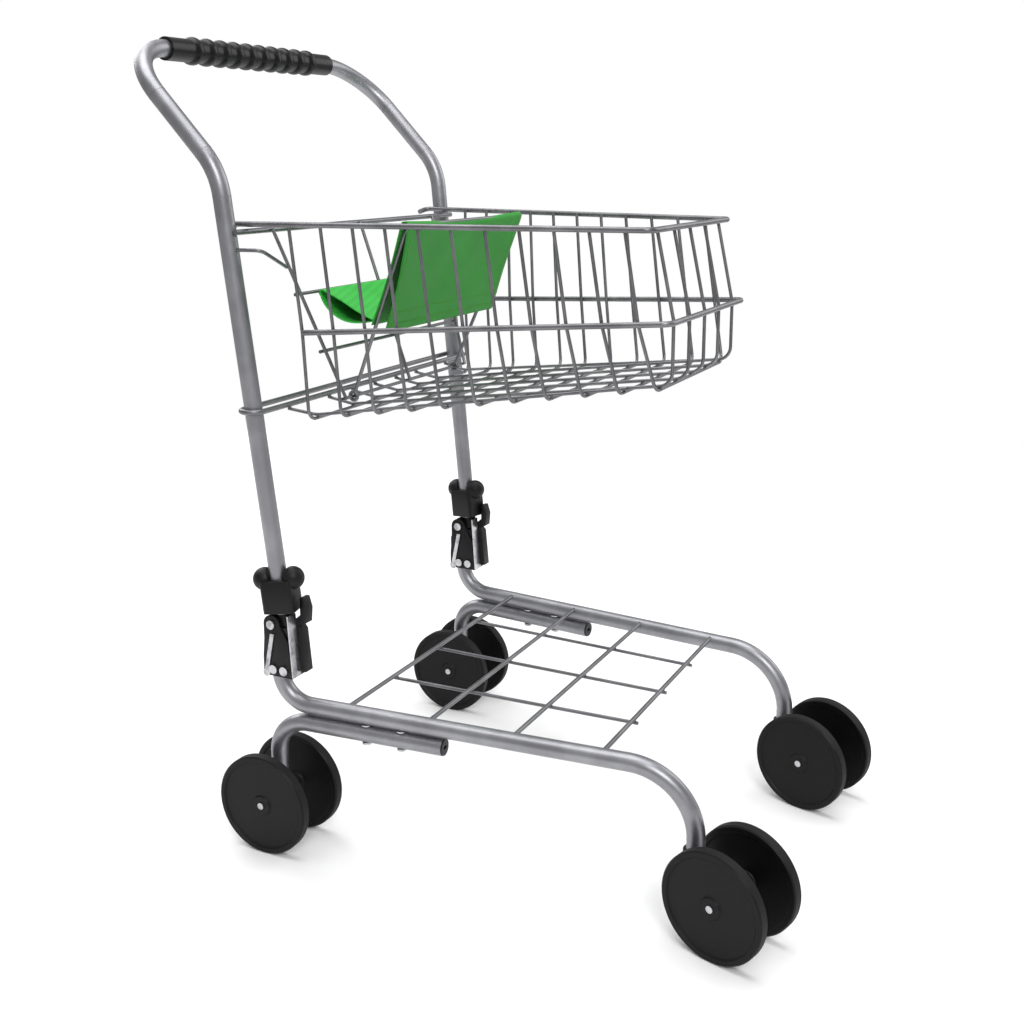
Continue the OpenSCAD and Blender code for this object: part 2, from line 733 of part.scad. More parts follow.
module basket_side_wires(side) {
    silver() for (i = [0 : side_wires - 1]) {
        p = side_wire_path(side, i);
        end = p[2] + unit(p[3] - p[2]) * (side_bend(p) + 0.5);
        bar([p[0], p[1], p[2], end], [kink_set / tan(turn(p, 1) / 2), floor_bend_r], mesh_r, $fn = wire_fn);
    }
}

// Length of wire on each side of the waist that is bent there
kink_set = 2.5;

// Length of wire that the floor bend takes from the floor run
function side_bend(p) = floor_bend_r * tan(turn(p, 2) / 2) + joint_gap;

module basket_floor_wires() {
    silver() for (i = [0 : side_wires - 1]) {
        p = side_wire_path(right, i);
        reach = p[2] + unit(p[3] - p[2]) * (side_bend(p) + 0.5 + mesh_r * joint_share);
        rod(reach, [-reach[0], reach[1], reach[2]], mesh_r, $fn = wire_fn);
    }
}

module basket_long_wires() {
    side_n = (front_wires - 1) / 2;
    turn_f = waist_front_f - in_rim;
    silver() for (i = [-side_n : side_n])
        bar([at(i * front_pitch, long_start_f, long_start_z),
            at(i * front_pitch, floor_first_f, floor_z(floor_first_f) + long_lift),
            at(i * front_pitch, turn_f, floor_z(turn_f) + long_lift),
            at(i * front_pitch, turn_f, waist_front_z),
            at(i * front_pitch, rim_front_f - in_rim, rim_z + 0.5)], [0, 10, 0], mesh_r, $fn = wire_fn);
}

module basket_edge_wires() {
    inset = 9;
    edge_bend = 20;
    end_f = floor_last_f - floor_pitch + 2;
    silver() for (side = [right, left])
        bar([at(side * (floor_half(long_start_f) - inset), long_start_f, long_start_z),
            at(side * (floor_half(floor_first_f) - inset), floor_first_f, floor_z(floor_first_f) + long_lift),
            at(side * (floor_half(end_f) - inset), end_f, floor_z(end_f) + long_lift)],
            [edge_bend], mesh_r, $fn = wire_fn);
}

gate_rod_f = lean_f(gate_rod_z) + tube_r / cos(lean) + rim_r + weld_gap;

module basket_rod() {
    reach = upright_half(gate_rod_z) + rim_r;
    silver() rod(at(-reach, gate_rod_f, gate_rod_z), at(reach, gate_rod_f, gate_rod_z), rim_r, $fn = wire_fn);
}

// Endless wire loop that passes in front of and behind both upright tubes

module basket_loop() {
    half = upright_half(loop_z);
    f = lean_f(loop_z);
    silver() {
        for (end = [-1, 1])
            rod(at(-half, f + end * loop_r, loop_z), at(half, f + end * loop_r, loop_z), rim_r, $fn = wire_fn);
        for (side = [right, left])
            translate(at(side * half, f, loop_z)) rotate([0, 0, side * 90 - 90]) rotate([0, 0, -90])
                rotate_extrude(angle = 180) translate([loop_r, 0]) circle(rim_r, $fn = wire_fn);
    }
}

// ---- Rear gate -----------------------------------------------------------------------------
gate_top_f = gate_rod_f + rim_r + gate_r + weld_gap;

function gate_f(z) = mix(gate_low_f, gate_top_f, (z - gate_low_z) / (gate_rod_z - gate_low_z));
function gate_half(z) = mix(gate_low_w, gate_top_w, (z - gate_low_z) / (gate_rod_z - gate_low_z)) / 2;
gate_tilt = unit(at(0, gate_top_f, gate_rod_z) - at(0, gate_low_f, gate_low_z));
// Direction square to the gate, towards the front
gate_out = unit(cross([1, 0, 0], gate_tilt));
gate_cross_z = [for (share = [0, 0.29, 0.63]) mix(gate_low_z, gate_rod_z, share)];

module gate_uprights() {
    silver() for (share = [-1, 0, 1])
        rod(at(share * gate_half(gate_low_z), gate_low_f, gate_low_z) - 1 * gate_tilt,
            at(share * gate_half(gate_rod_z), gate_top_f, gate_rod_z) + 1 * gate_tilt, gate_r, $fn = wire_fn);
}

module gate_cross_wires() {
    step = gate_d + weld_gap;
    silver() for (z = gate_cross_z) {
        reach = gate_half(z) + 3;
        rod(at(-reach, gate_f(z), z) - step * gate_out, at(reach, gate_f(z), z) - step * gate_out, gate_r,
            $fn = wire_fn);
    }
}

module gate_hooks() {
    z = gate_rod_z - 12;
    low_z = gate_rod_z - 26;
    silver() for (side = [right, left]) {
        start = at(side * upright_half(z), lean_f(z) + tube_r + 0.1, z);
        bar([start, at(side * (upright_half(z) - 3), gate_f(z) + 10, z),
            at(side * (gate_half(low_z) + gate_d + weld_gap), gate_f(low_z), low_z)], [5], gate_r, $fn = wire_fn);
    }
}

// ---- Child seat ----------------------------------------------------------------------------
seat_pivot = at(0, gate_low_f, gate_low_z) - (gate_d + weld_gap) * gate_out;
seat_top = at(0, seat_top_f, seat_top_z);
seat_dir = unit(seat_top - seat_pivot);
seat_out = unit(cross([1, 0, 0], seat_dir));
seat_len = norm(seat_top - seat_pivot);
eye_r = gate_r + seat_r + 0.35;

function seat_at(share, rise) = seat_pivot + seat_dir * rise + [share * seat_half(rise), 0, 0];
function seat_half(rise) = mix(seat_low_w, seat_top_w, rise / seat_len) / 2;

// U-shaped wire with an eye at each foot, which turns on the gate's bottom wire
module seat_frame() {
    silver() {
        bar(mirrored([seat_at(right, eye_r - 0.3), seat_at(right, seat_len)]), [9, 9], seat_r, $fn = wire_fn);
        for (side = [right, left])
            translate(seat_at(side, 0)) rotate([0, 90, 0])
                rotate_extrude() translate([eye_r, 0]) circle(seat_r, $fn = wire_fn);
    }
}

hem_rise = (hem_z - seat_pivot[2]) / seat_dir[2];

// Cloth pocket over the frame, closed at the top and open at the hem
module seat_cover() {
    gap = seat_r + 0.4;
    skin = gap + cloth_t;
    side_gap = 0.6;
    green() difference() {
        cover_block(skin, side_gap + cloth_t, hem_rise, seat_len + skin);
        cover_block(gap, side_gap, hem_rise - 1, seat_len + gap);
    }
}

// Block round the seat frame between two heights up the backrest
module cover_block(half_t, side_gap, from, to) {
    w0 = seat_half(from) + seat_r + side_gap;
    w1 = seat_half(to) + seat_r + side_gap;
    placed(seat_pivot, [1, 0, 0], seat_out, seat_dir)
        translate([0, half_t, 0]) rotate([90, 0, 0]) linear_extrude(2 * half_t)
            polygon([[-w0, from], [w0, from], [w1, to], [-w1, to]]);
}

// Cloth seat from the gate's middle wire down to the backrest's hem
module seat_sheet() {
    rear_z = gate_cross_z[2];
    margin = 3.5;
    rear = at(0, gate_f(rear_z) + margin, rear_z);
    front = seat_at(0, hem_rise) + margin * -seat_out;
    d = unit(front - rear);
    n = unit(cross([1, 0, 0], d));
    half0 = seat_half(hem_rise) + 2;
    half1 = seat_half(hem_rise) - 2;
    run = norm(front - rear);
    green() placed(rear, [1, 0, 0], d, n)
        linear_extrude(2 * cloth_t)
            polygon([[-half0, 0], [half0, 0], [half1, run], [-half1, run]]);
}

handle_tube();
handle_grip();
deck_tube(right);  // deck_tube_right
deck_tube(left);  // deck_tube_left
leg_tube(right);  // leg_tube_right
leg_tube(left);  // leg_tube_left
leg_end_plugs();
leg_screws();
leg_spacers();
rack_cross_wires();
rack_long_wires();
hinge_knuckle(right);  // hinge_knuckle_right
hinge_knuckle(left);  // hinge_knuckle_left
lock_plates(right);  // lock_plates_right
lock_plates(left);  // lock_plates_left
lock_strap(right);  // lock_strap_right
lock_strap(left);  // lock_strap_left
lock_spring(right);  // lock_spring_right
lock_spring(left);  // lock_spring_left
pivot_bolt(right);  // pivot_bolt_right
pivot_bolt(left);  // pivot_bolt_left
lock_screws(right);  // lock_screws_right
lock_screws(left);  // lock_screws_left
lock_sleeve(right);  // lock_sleeve_right
lock_sleeve(left);  // lock_sleeve_left
rear_wheel_place(right) axle();  // rear_axle_right
rear_wheel_place(left) axle();  // rear_axle_left
rear_wheel_place(right) twin_wheel();  // rear_wheels_right
rear_wheel_place(left) twin_wheel();  // rear_wheels_left
stem_bush(right);  // stem_bush_right
stem_bush(left);  // stem_bush_left
swivel_pin(right);  // swivel_pin_right
swivel_pin(left);  // swivel_pin_left
caster_fork(right);  // caster_fork_right
caster_fork(left);  // caster_fork_left
caster_axle_place(right) axle();  // caster_axle_right
caster_axle_place(left) axle();  // caster_axle_left
caster_axle_place(right) twin_wheel();  // caster_wheels_right
caster_axle_place(left) twin_wheel();  // caster_wheels_left
basket_top_rim();
basket_waist_rim();
basket_side_wires(right);  // basket_side_wires_right
basket_side_wires(left);  // basket_side_wires_left
basket_floor_wires();
basket_long_wires();
basket_edge_wires();
basket_rod();
basket_loop();
gate_uprights();
gate_cross_wires();
gate_hooks();
seat_frame();
seat_cover();
seat_sheet();
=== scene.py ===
"""A folding doll's shopping trolley: tube frame, wire basket, cloth child seat and twin wheels.

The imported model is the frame. This script dresses its nodes, adds the cloth, the stitching, the
weld beads and the moulded edges, and sets up the studio and the camera. Lengths are in metres.
"""

import json
import logging
import math
from dataclasses import dataclass, field
from enum import Enum
from typing import Any, Callable, Iterable, Optional, Sequence, Union

import bmesh
import bpy
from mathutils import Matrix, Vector
from mathutils.bvhtree import BVHTree
from mathutils.geometry import intersect_line_line

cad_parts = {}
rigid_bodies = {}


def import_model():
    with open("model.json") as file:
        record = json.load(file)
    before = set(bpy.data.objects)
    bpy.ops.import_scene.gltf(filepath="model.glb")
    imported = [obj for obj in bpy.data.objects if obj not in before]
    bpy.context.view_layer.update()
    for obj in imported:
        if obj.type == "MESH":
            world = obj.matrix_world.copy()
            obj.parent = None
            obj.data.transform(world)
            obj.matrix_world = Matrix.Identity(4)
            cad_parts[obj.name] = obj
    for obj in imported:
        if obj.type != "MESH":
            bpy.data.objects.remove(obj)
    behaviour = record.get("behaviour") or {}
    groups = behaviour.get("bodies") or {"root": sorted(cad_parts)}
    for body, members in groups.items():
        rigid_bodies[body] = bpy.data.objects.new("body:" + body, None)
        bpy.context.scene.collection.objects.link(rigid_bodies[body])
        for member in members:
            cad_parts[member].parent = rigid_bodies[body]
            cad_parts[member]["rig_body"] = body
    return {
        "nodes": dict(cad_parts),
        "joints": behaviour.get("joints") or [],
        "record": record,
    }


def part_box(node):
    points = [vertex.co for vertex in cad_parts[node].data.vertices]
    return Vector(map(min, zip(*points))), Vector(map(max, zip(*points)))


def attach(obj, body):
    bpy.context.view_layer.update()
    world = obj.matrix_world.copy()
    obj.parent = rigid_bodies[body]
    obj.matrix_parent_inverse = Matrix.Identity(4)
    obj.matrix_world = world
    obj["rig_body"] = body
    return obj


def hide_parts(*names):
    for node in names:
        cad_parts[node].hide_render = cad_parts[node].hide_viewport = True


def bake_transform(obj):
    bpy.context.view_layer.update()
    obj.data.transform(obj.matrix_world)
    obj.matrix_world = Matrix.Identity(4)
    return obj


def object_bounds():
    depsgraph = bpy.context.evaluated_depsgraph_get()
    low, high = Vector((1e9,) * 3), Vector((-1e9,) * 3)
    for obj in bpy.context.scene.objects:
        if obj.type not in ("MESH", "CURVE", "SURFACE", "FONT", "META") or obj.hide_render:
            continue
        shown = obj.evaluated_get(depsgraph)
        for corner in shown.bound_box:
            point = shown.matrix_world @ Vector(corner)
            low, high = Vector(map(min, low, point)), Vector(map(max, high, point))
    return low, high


LOG = logging.getLogger("trolley")
MM = 0.001

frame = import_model()
CAD_BOX = [list(corner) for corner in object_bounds()]


class Side(Enum):
    """The two sides of the trolley, with the sign of X on each."""

    RIGHT = -1
    LEFT = 1

    @property
    def word(self) -> str:
        """The side's name as it stands in node names."""
        return self.name.lower()


# ---- Shader maths ----------------------------------------------------------------------------


class Socket:
    """A number that runs through a material's nodes, with the usual operators."""

    def __init__(self, shade: "Shade", link: Any) -> None:
        """Args: shade: the material that owns the link. link: an output socket."""
        self.shade = shade
        self.link = link

    def _math(self, operation: str, *values: Any) -> "Socket":
        """Adds a Math node over the values and returns its result."""
        return self.shade.node("ShaderNodeMath", {"operation": operation}, *values)

    def __add__(self, other: Any) -> "Socket":
        """This plus a number or socket."""
        return self._math("ADD", self, other)

    def __radd__(self, other: Any) -> "Socket":
        """A number plus this."""
        return self._math("ADD", other, self)

    def __sub__(self, other: Any) -> "Socket":
        """This minus a number or socket."""
        return self._math("SUBTRACT", self, other)

    def __rsub__(self, other: Any) -> "Socket":
        """A number minus this."""
        return self._math("SUBTRACT", other, self)

    def __mul__(self, other: Any) -> "Socket":
        """This times a number or socket."""
        return self._math("MULTIPLY", self, other)

    def __rmul__(self, other: Any) -> "Socket":
        """A number times this."""
        return self._math("MULTIPLY", other, self)

    def __truediv__(self, other: Any) -> "Socket":
        """This divided by a number or socket."""
        return self._math("DIVIDE", self, other)

    def __pow__(self, other: Any) -> "Socket":
        """This raised to a power."""
        return self._math("POWER", self, other)

    def __abs__(self) -> "Socket":
        """The absolute value."""
        return self._math("ABSOLUTE", self)

    def sine(self) -> "Socket":
        """The sine of this, in radians."""
        return self._math("SINE", self)

    def ramp(self, low: float, high: float) -> "Socket":
        """This mapped from low..high to 0..1, smoothly and clamped."""
        return self.shade.node(
            "ShaderNodeMapRange", {"interpolation_type": "SMOOTHSTEP"}, self, low, high, 0.0, 1.0
        )


Number = Union[float, Socket]
Colour = tuple[float, float, float]


class Shade:
    """One procedural material, written as expressions on sockets."""

    def __init__(self, name: str) -> None:
        """Args: name: the material's name."""
        self.material = bpy.data.materials.new(name)
        self.material.use_nodes = True
        self.tree = self.material.node_tree
        self.tree.nodes.clear()
        output = self.tree.nodes.new("ShaderNodeOutputMaterial")
        self.shader = self.tree.nodes.new("ShaderNodeBsdfPrincipled")
        self.tree.links.new(self.shader.outputs[0], output.inputs["Surface"])

    def put(self, target: Any, value: Any) -> None:
        """Sets an input socket, or links it.

        Args:
            target: the input socket.
            value: a number, a colour, a Socket or an output socket.
        """
        link = value.link if isinstance(value, Socket) else value
        if isinstance(link, bpy.types.NodeSocket):
            self.tree.links.new(link, target)
        elif isinstance(link, tuple) and len(link) == 3 and target.type == "RGBA":
            target.default_value = (*link, 1.0)
        else:
            target.default_value = link

    def node(self, kind: str, settings: dict[str, Any], *values: Any, out: Any = 0, **named: Any) -> Socket:
        """Adds any node.

        Args:
            kind: the node's type.
            settings: the node's own settings, which are set first.
            values: what goes in its inputs, in order; None leaves one alone.
            out: the output's name or number.
            named: inputs by name, with _ for a space.

        Returns:
            The output as a Socket.
        """
        made = self.tree.nodes.new(kind)
        for key, value in settings.items():
            setattr(made, key, value)
        for target, value in zip(made.inputs, values):
            if value is not None:
                self.put(target, value)
        for key, value in named.items():
            self.put(made.inputs[key.replace("_", " ")], value)
        return Socket(self, made.outputs[out])

    def place(self, kind: str = "Object") -> Any:
        """The Texture Coordinate output of that kind, such as Object, UV or Normal."""
        return self.node("ShaderNodeTexCoord", {}, out=kind)

    def scaled(self, place: Any, scale: Sequence[float], turn: Sequence[float] = (0.0, 0.0, 0.0)) -> Socket:
        """A place that is turned and scaled by a Mapping node."""
        return self.node("ShaderNodeMapping", {}, place, None, tuple(turn), tuple(scale), out="Vector")

    def noise(self, place: Any, scale: float, detail: float = 2.0, rough: float = 0.5) -> Socket:
        """Noise of that many waves per metre, from 0 to 1."""
        return self.node(
            "ShaderNodeTexNoise", {}, Vector=place, Scale=scale, Detail=detail, Roughness=rough, out="Fac"
        )

    def parts(self, place: Any) -> tuple[Socket, Socket, Socket]:
        """The X, Y and Z of a vector."""
        made = self.tree.nodes.new("ShaderNodeSeparateXYZ")
        self.put(made.inputs[0], place)
        return tuple(Socket(self, made.outputs[i]) for i in range(3))

    def blend(self, share: Number, first: Any, second: Any) -> Socket:
        """A colour from first, at 0, to second, at 1."""
        made = self.tree.nodes.new("ShaderNodeMix")
        made.data_type = "RGBA"
        self.put(made.inputs["Factor"], share)
        for target, value in zip([s for s in made.inputs if s.type == "RGBA"], (first, second)):
            self.put(target, value)
        return Socket(self, next(s for s in made.outputs if s.type == "RGBA"))

    def dot(self, place: Any, axis: Sequence[float]) -> Socket:
        """The dot product of a vector with an axis."""
        settings = {"operation": "DOT_PRODUCT"}
        return self.node("ShaderNodeVectorMath", settings, place, tuple(axis), out="Value")

    def bump(self, height: Socket, depth: float) -> Socket:
        """A normal that is bent by a height of 0 to 1 over that depth, in metres."""
        return self.node("ShaderNodeBump", {}, Strength=1.0, Distance=depth, Height=height, out="Normal")

    def finish(self, **inputs: Any) -> bpy.types.Material:
        """Sets the shader's inputs by name, with _ for a space, and returns the material."""
        for key, value in inputs.items():
            self.put(self.shader.inputs[key.replace("_", " ")], value)
        return self.material


# ---- Finishes --------------------------------------------------------------------------------


@dataclass(frozen=True)
class SilverPaint:
    """Satin silver paint over steel tube or wire, with fine flakes and faint handling marks."""

    name: str
    slot: str
    light: Colour = (0.36, 0.36, 0.385)
    dark: Colour = (0.26, 0.26, 0.28)
    roughness: float = 0.3
    metallic: float = 0.9
    flake_scale: float = 5200.0
    cloud_scale: float = 34.0
    flake_depth: float = 0.00002

    def make(self) -> bpy.types.Material:
        """Returns the material."""
        shade = Shade(self.name)
        place = shade.place()
        flakes = shade.noise(place, self.flake_scale, 1.0)
        clouds = shade.noise(place, self.cloud_scale, 3.0, 0.6)
        streaks = shade.noise(shade.scaled(place, (900.0, 900.0, 40.0)), 1.0, 2.0)
        tone = clouds.ramp(0.35, 0.7) * 0.7 + flakes.ramp(0.45, 0.65) * 0.3
        return shade.finish(
            Base_Color=shade.blend(tone, self.dark, self.light),
            Metallic=self.metallic,
            Roughness=self.roughness + clouds * 0.1 + streaks * 0.06 + flakes * 0.04,
            Normal=shade.bump(flakes, self.flake_depth),
        )


@dataclass(frozen=True)
class BrightSteel:
    """Zinc-plated steel of bolts, axles and strips, with fine drawn lines."""

    name: str
    slot: str
    light: Colour = (0.55, 0.55, 0.57)
    dark: Colour = (0.3, 0.3, 0.32)
    roughness: float = 0.24
    line_scale: float = 2600.0
    line_depth: float = 0.00003

    def make(self) -> bpy.types.Material:
        """Returns the material."""
        shade = Shade(self.name)
        place = shade.place()
        lines = shade.noise(shade.scaled(place, (self.line_scale, self.line_scale, 60.0)), 1.0, 2.0)
        tarnish = shade.noise(place, 160.0, 4.0, 0.65).ramp(0.42, 0.72)
        return shade.finish(
            Base_Color=shade.blend(tarnish, self.light, self.dark),
            Metallic=1.0,
            Roughness=self.roughness + tarnish * 0.2 + lines * 0.08,
            Normal=shade.bump(lines, self.line_depth),
        )


@dataclass(frozen=True)
class MouldedPlastic:
    """Black moulded plastic with a fine spark-eroded grain and rubbed high spots."""

    name: str
    slot: str
    base: Colour = (0.0022, 0.0022, 0.0024)
    rubbed: Colour = (0.008, 0.008, 0.0085)
    roughness: float = 0.42
    grain_scale: float = 2600.0
    grain_depth: float = 0.00006

    def make(self) -> bpy.types.Material:
        """Returns the material."""
        shade = Shade(self.name)
        place = shade.place()
        grain = shade.noise(place, self.grain_scale, 2.0, 0.6)
        scuffs = shade.noise(place, 120.0, 4.0, 0.7).ramp(0.52, 0.74)
        edges = shade.node("ShaderNodeNewGeometry", {}, out="Pointiness").ramp(0.52, 0.6)
        wear = scuffs * 0.45 + edges * 0.35
        shade.shader.inputs["Specular IOR Level"].default_value = 0.28
        return shade.finish(
            Base_Color=shade.blend(wear, self.base, self.rubbed),
            Roughness=self.roughness + grain * 0.1 + scuffs * 0.1,
            Normal=shade.bump(grain, self.grain_depth),
        )


@dataclass(frozen=True)
class WheelPlastic:
    """Black wheel plastic: smooth faces with turned lines, and a rougher tread painted lighter all round as a
    painted sheen, with lighter dust specks on it.
    """

    name: str
    slot: str
    centre: tuple[float, float, float]
    axle: tuple[float, float, float]
    base: Colour = (0.0016, 0.0016, 0.0016)
    # Lighter tread colour: a painted sheen over the whole tread, plus dust specks.
    dust: Colour = (0.012, 0.012, 0.013)
    roughness: float = 0.46
    line_scale: float = 2400.0
    line_depth: float = 0.00003

    def make(self) -> bpy.types.Material:
        """Returns the material."""
        shade = Shade(self.name)
        place = shade.place()
        tread = 1.0 - abs(shade.dot(shade.place("Normal"), self.axle)).ramp(0.15, 0.8)
        offset = shade.node(
            "ShaderNodeVectorMath", {"operation": "SUBTRACT"}, place, self.centre, out="Vector"
        )
        radius = shade.node("ShaderNodeVectorMath", {"operation": "LENGTH"}, offset, out="Value")
        lines = (radius * self.line_scale * math.tau).sine() * 0.5 + 0.5
        specks = shade.noise(place, 420.0, 3.0, 0.7).ramp(0.5, 0.75)
        grain = shade.noise(place, 2400.0, 2.0)
        # The tread is painted lighter everywhere as a painted sheen, and lighter still where dust specks lie.
        painted_sheen_and_dust = tread * (0.35 + specks * 0.65)
        height = grain * 0.6 + lines * (1.0 - tread) * 0.4
        shade.shader.inputs["Specular IOR Level"].default_value = 0.22
        return shade.finish(
            Base_Color=shade.blend(painted_sheen_and_dust, self.base, self.dust),
            Roughness=self.roughness + tread * 0.16 + specks * 0.1,
            Normal=shade.bump(height, self.line_depth),
        )


@dataclass(frozen=True)
class Cloth:
    """Green polyester, woven along the piece's own UV map, which is in metres."""

    name: str
    slot: str
    light: Colour
    dark: Colour
    thread: float = 0.00055
    dimples: float = 0.0
    dimple_pitch: float = 0.0034
    depth: float = 0.00016
    roughness: float = 0.72

    def make(self) -> bpy.types.Material:
        """Returns the material."""
        shade = Shade(self.name)
        place = shade.place("UV")
        along, across, _ = shade.parts(place)
        wave = math.tau / self.thread
        warp = (along * wave).sine() * 0.5 + 0.5
        weft = (across * wave).sine() * 0.5 + 0.5
        weave = warp * 0.5 + weft * 0.5
        fuzz = shade.noise(place, 900.0, 3.0, 0.7)
        clouds = shade.noise(place, 26.0, 3.0, 0.6)
        slant = math.tau / self.dimple_pitch
        rows = ((along * slant + across * (slant * 0.45)).sine() * 0.5 + 0.5).ramp(0.45, 0.95)
        dashes = ((across * (slant * 0.55) - along * (slant * 0.2)).sine() * 0.5 + 0.5).ramp(0.25, 0.8)
        dimple = rows * dashes * self.dimples
        tone = clouds * 0.55 + weave * 0.25 + fuzz * 0.2 - dimple * 0.45
        height = weave * 0.45 + fuzz * 0.2 - dimple * 0.9 + 0.4
        shade.shader.inputs["Sheen Weight"].default_value = 0.08
        shade.shader.inputs["Sheen Roughness"].default_value = 0.5
        return shade.finish(
            Base_Color=shade.blend(tone.ramp(0.05, 0.8), self.dark, self.light),
            Roughness=self.roughness + fuzz * 0.15,
            Normal=shade.bump(height, self.depth),
        )


@dataclass(frozen=True)
class Thread:
    """Twisted yellow-green sewing thread."""

    name: str
    slot: str
    light: Colour = (0.12, 0.36, 0.02)
    dark: Colour = (0.04, 0.2, 0.01)

    def make(self) -> bpy.types.Material:
        """Returns the material."""
        shade = Shade(self.name)
        twist = shade.noise(shade.place(), 2200.0, 2.0)
        return shade.finish(
            Base_Color=shade.blend(twist.ramp(0.35, 0.65), self.dark, self.light), Roughness=0.6 + twist * 0.2
        )


# ---- Mesh helpers ----------------------------------------------------------------------------


def deselect() -> None:
    """Leaves object mode selection empty."""
    bpy.ops.object.select_all(action="DESELECT")


def make_active(obj: bpy.types.Object) -> None:
    """Selects that object alone."""
    deselect()
    obj.select_set(True)
    bpy.context.view_layer.objects.active = obj


def apply_modifiers(obj: bpy.types.Object) -> None:
    """Applies every modifier of the object, in order."""
    make_active(obj)
    for modifier in list(obj.modifiers):
        bpy.ops.object.modifier_apply(modifier=modifier.name)


def settle(obj: bpy.types.Object) -> None:
    """Puts the object's place, turn and scale into its mesh."""
    make_active(obj)
    bpy.ops.object.transform_apply(location=True, rotation=True, scale=True)


def smooth(obj: bpy.types.Object, degrees: float = 35.0) -> None:
    """Smooth shading, with edges sharper than the angle kept."""
    make_active(obj)
    bpy.ops.object.shade_smooth_by_angle(angle=math.radians(degrees))


def dress(obj: bpy.types.Object, material: bpy.types.Material) -> None:
    """Gives a new piece its material."""
    obj.data.materials.clear()
    obj.data.materials.append(material)


def joined(objects: Sequence[bpy.types.Object], name: str) -> bpy.types.Object:
    """Joins objects into the first one and names it.

    Args:
        objects: mesh objects.
        name: the joined piece's name.

    Returns:
        The joined object.
    """
    deselect()
    for obj in objects:
        obj.select_set(True)
    bpy.context.view_layer.objects.active = objects[0]
    bpy.ops.object.join()
    objects[0].name = name
    return objects[0]


def node_copy(node: str, name: str) -> bpy.types.Object:
    """A free copy of a CAD node's mesh, with its loose triangles merged."""
    obj = frame["nodes"][node].copy()
    obj.data = obj.data.copy()
    obj.parent = None
    obj.name = name
    for key in list(obj.keys()):
        if key.startswith("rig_"):
            del obj[key]
    bpy.context.scene.collection.objects.link(obj)
    make_active(obj)
    bpy.ops.object.mode_set(mode="EDIT")
    bpy.ops.mesh.select_all(action="SELECT")
    bpy.ops.mesh.remove_doubles(threshold=1e-6)
    bpy.ops.mesh.tris_convert_to_quads(face_threshold=0.02, shape_threshold=0.02)
    bpy.ops.object.mode_set(mode="OBJECT")
    return obj


def grid_piece(
    name: str, across: int, along: int, point: Callable[[float, float], Vector], size: tuple[float, float]
) -> bpy.types.Object:
    """A sheet of quads with a UV map in metres.

    Args:
        name: the piece's name.
        across: number of faces across.
        along: number of faces along.
        point: place of the sheet at (share across, share along).
        size: flat width and length, which scale the UV map.

    Returns:
        The new object.
    """
    deselect()
    bpy.ops.mesh.primitive_grid_add(x_subdivisions=across, y_subdivisions=along, size=1.0)
    obj = bpy.context.object
    obj.name = name
    mesh = obj.data
    shares = [(v.co.x + 0.5, v.co.y + 0.5) for v in mesh.vertices]
    uv = mesh.uv_layers.active or mesh.uv_layers.new(name="UVMap")
    for loop in mesh.loops:
        u, v = shares[loop.vertex_index]
        uv.data[loop.index].uv = (u * size[0], v * size[1])
    for vertex, (u, v) in zip(mesh.vertices, shares):
        vertex.co = point(u, v)
    return obj


def mix(a: float, b: float, share: float) -> float:
    """A number between a and b."""
    return a + (b - a) * share


def bulge(share: float) -> float:
    """0 at both ends of a span and 1 in the middle."""
    return math.sin(math.pi * min(1.0, max(0.0, share)))


# ---- Welds -----------------------------------------------------------------------------------


